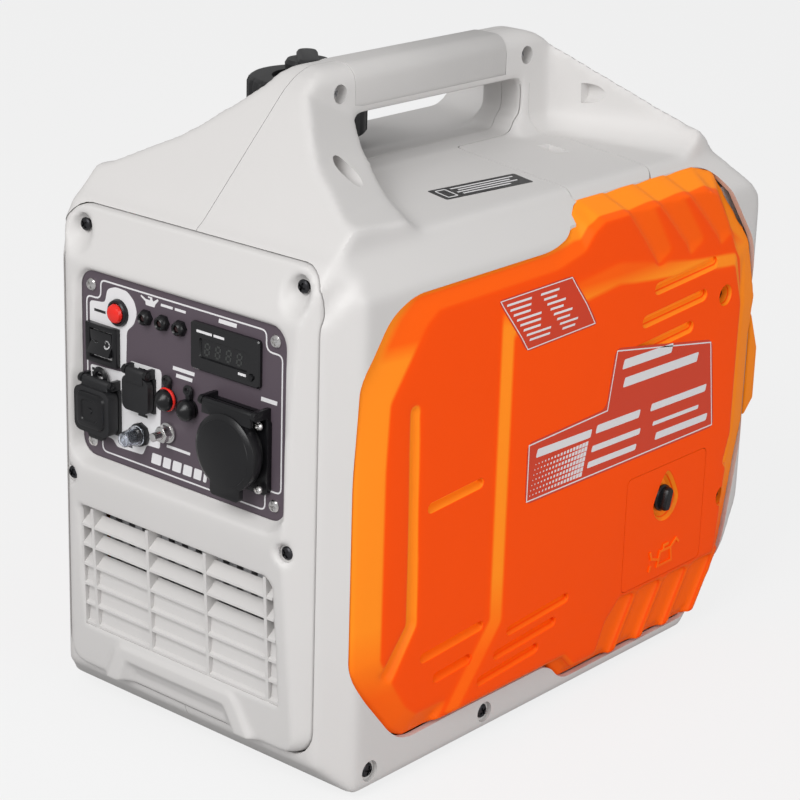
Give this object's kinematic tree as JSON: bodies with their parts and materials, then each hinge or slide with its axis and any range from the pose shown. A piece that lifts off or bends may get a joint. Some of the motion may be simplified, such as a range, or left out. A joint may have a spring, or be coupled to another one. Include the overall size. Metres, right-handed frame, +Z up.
{
  "type": "portable generator",
  "caption": "Suitcase-style inverter generator with a carrying handle, control panel, side covers, fuel cap, recoil starter and a petrol engine inside.",
  "frame": {"origin": "On the ground under the middle of the body's bounding box, level with the undersides of the feet.", "axes": "+Z up; -Y is the control-panel end, +Y the exhaust end; +X is the side with the oil door and the spark plug hatch."},
  "size_m": [0.2895, 0.5181, 0.4585],
  "materials": {
    "shell": "fine moulded texture, satin",
    "orange": "satin moulded",
    "black": "satin",
    "gloss_black": "gloss",
    "grip": "grained soft rubber",
    "rubber": "matte",
    "panel": "satin printed plate",
    "red": "gloss",
    "clear": "clear soft vinyl",
    "screw_dark": "black zinc",
    "screw_bright": "bright",
    "tray": "satin",
    "tank": "matte blow-moulded",
    "cast": "as cast",
    "steel": "bright",
    "hot": "heat-dulled",
    "copper": "wound wire",
    "shroud": "matte"
  },
  "bodies": {
    "housing": {"right_shell": "shell", "left_shell": "shell", "front_cover": "shell", "rear_cover": "shell", "right_side_cover": "orange", "left_side_cover": "orange", "exhaust_guard": "orange", "base_tray": "tray", "rubber_feet": "rubber", "handle_grip": "grip", "shell_screws": "screw_dark", "front_cover_screws": "screw_dark", "side_cover_screws": "screw_dark", "base_bolts": "screw_dark", "panel_screws": "screw_bright", "control_panel": "panel", "engine_switch_bezel": "black", "indicator_lamps": "gloss_black", "meter_display": "gloss_black", "usb_socket": "black", "dc_socket": "black", "dc_breaker": "black", "breaker_boot": "clear", "parallel_sockets": "black", "ground_terminal": "screw_bright", "ac_socket": "black", "fuel_tank": "tank", "muffler": "hot", "spark_arrester": "steel", "crankcase": "cast", "cylinder_block": "cast", "valve_cover": "cast", "spark_plug": "steel", "plug_cap": "rubber", "stator": "copper", "fan_shroud": "shroud", "recoil_housing": "shroud", "carburettor": "cast", "throttle_motor": "shroud", "air_filter_box": "shroud", "inverter_module": "cast"},
    "cap": {"fuel_cap": "black"},
    "vent": {"vent_knob": "black"},
    "hatch": {"spark_plug_lid": "shell"},
    "door": {"oil_door": "orange"},
    "door_latch": {"oil_door_knob": "black"},
    "outlet_lid": {"ac_socket_lid": "black"},
    "charge_flap": {"usb_flap": "rubber"},
    "dc_cover": {"dc_flap": "rubber"},
    "reset_push": {"reset_button": "red"},
    "switch_rocker": {"engine_switch_rocker": "black"},
    "mode_push": {"meter_mode_button": "black"},
    "breaker_push": {"dc_breaker_button": "black"},
    "plug_cap_red": {"parallel_cap_red": "rubber"},
    "plug_cap_black": {"parallel_cap_black": "rubber"},
    "pull_handle": {"recoil_grip": "black"},
    "rope_drum": {"recoil_pulley": "black"},
    "rotor": {"crankshaft": "steel", "flywheel_fan": "cast"},
    "dipstick": {"oil_dipstick": "shroud"}
  },
  "joints": [
    {"name": "fuel_cap_turn", "type": "hinge", "parent": "housing", "child": "cap", "pos_m": [-0.07, -0.052, 0.4], "axis": [0, 0, 1], "range_deg": [0, 90]},
    {"name": "tank_vent_turn", "type": "hinge", "parent": "cap", "child": "vent", "pos_m": [-0.07, -0.052, 0.435], "axis": [0, 0, 1], "range_deg": [0, 90]},
    {"name": "hatch_swing", "type": "hinge", "parent": "housing", "child": "hatch", "pos_m": [0.1212, 0.056, 0.366], "axis": [0, 1, 0], "range_deg": [0, 95]},
    {"name": "oil_door_swing", "type": "hinge", "parent": "housing", "child": "door", "pos_m": [0.141, 0.115, 0.0635], "axis": [0, 1, 0], "range_deg": [0, 75]},
    {"name": "door_latch_turn", "type": "hinge", "parent": "door", "child": "door_latch", "pos_m": [0.141, 0.115, 0.124], "axis": [1, 0, 0], "range_deg": [0, 90]},
    {"name": "outlet_lid_swing", "type": "hinge", "parent": "housing", "child": "outlet_lid", "pos_m": [0.056, -0.2558, 0.2655], "axis": [-1, 0, 0], "range_deg": [0, 110], "stiffness_Nm_per_rad": 0.02, "springref_deg": -17.19},
    {"name": "charge_flap_swing", "type": "hinge", "parent": "housing", "child": "charge_flap", "pos_m": [-0.074, -0.2498, 0.2495], "axis": [-1, 0, 0], "range_deg": [0, 100]},
    {"name": "dc_cover_swing", "type": "hinge", "parent": "housing", "child": "dc_cover", "pos_m": [-0.036, -0.2493, 0.2655], "axis": [-1, 0, 0], "range_deg": [0, 100]},
    {"name": "reset_press", "type": "slide", "parent": "housing", "child": "reset_push", "axis": [0, 1, 0], "range_m": [0, 0.0025], "stiffness_N_per_m": 400},
    {"name": "engine_switch_tip", "type": "hinge", "parent": "housing", "child": "switch_rocker", "pos_m": [-0.073, -0.241, 0.275], "axis": [1, 0, 0], "range_deg": [0, 22]},
    {"name": "mode_press", "type": "slide", "parent": "housing", "child": "mode_push", "axis": [0, 1, 0], "range_m": [0, 0.001], "stiffness_N_per_m": 300},
    {"name": "breaker_press", "type": "slide", "parent": "housing", "child": "breaker_push", "axis": [0, 1, 0], "range_m": [0, 0.002], "stiffness_N_per_m": 400},
    {"name": "red_cap_pull", "type": "slide", "parent": "housing", "child": "plug_cap_red", "axis": [0, -1, 0], "range_m": [0, 0.025]},
    {"name": "black_cap_pull", "type": "slide", "parent": "housing", "child": "plug_cap_black", "axis": [0, -1, 0], "range_m": [0, 0.025]},
    {"name": "starter_pull", "type": "slide", "parent": "housing", "child": "pull_handle", "axis": [-1, 0, 0], "range_m": [0, 0.085], "stiffness_N_per_m": 20},
    {"name": "rope_drum_turn", "type": "hinge", "parent": "housing", "child": "rope_drum", "pos_m": [-0.1, 0.085, 0.14], "axis": [1, 0, 0], "range_deg": [0, 106]},
    {"name": "crank_turn", "type": "hinge", "parent": "housing", "child": "rotor", "pos_m": [0, 0.085, 0.14], "axis": [1, 0, 0], "continuous": true},
    {"name": "dipstick_turn", "type": "hinge", "parent": "housing", "child": "dipstick", "pos_m": [0.12, 0.115, 0.1], "axis": [1, 0, 0], "range_deg": [0, 360]}
  ],
  "couplings": [
    {"joint": "rope_drum_turn", "follows": "starter_pull", "rad_per_m": 21.74}
  ]
}
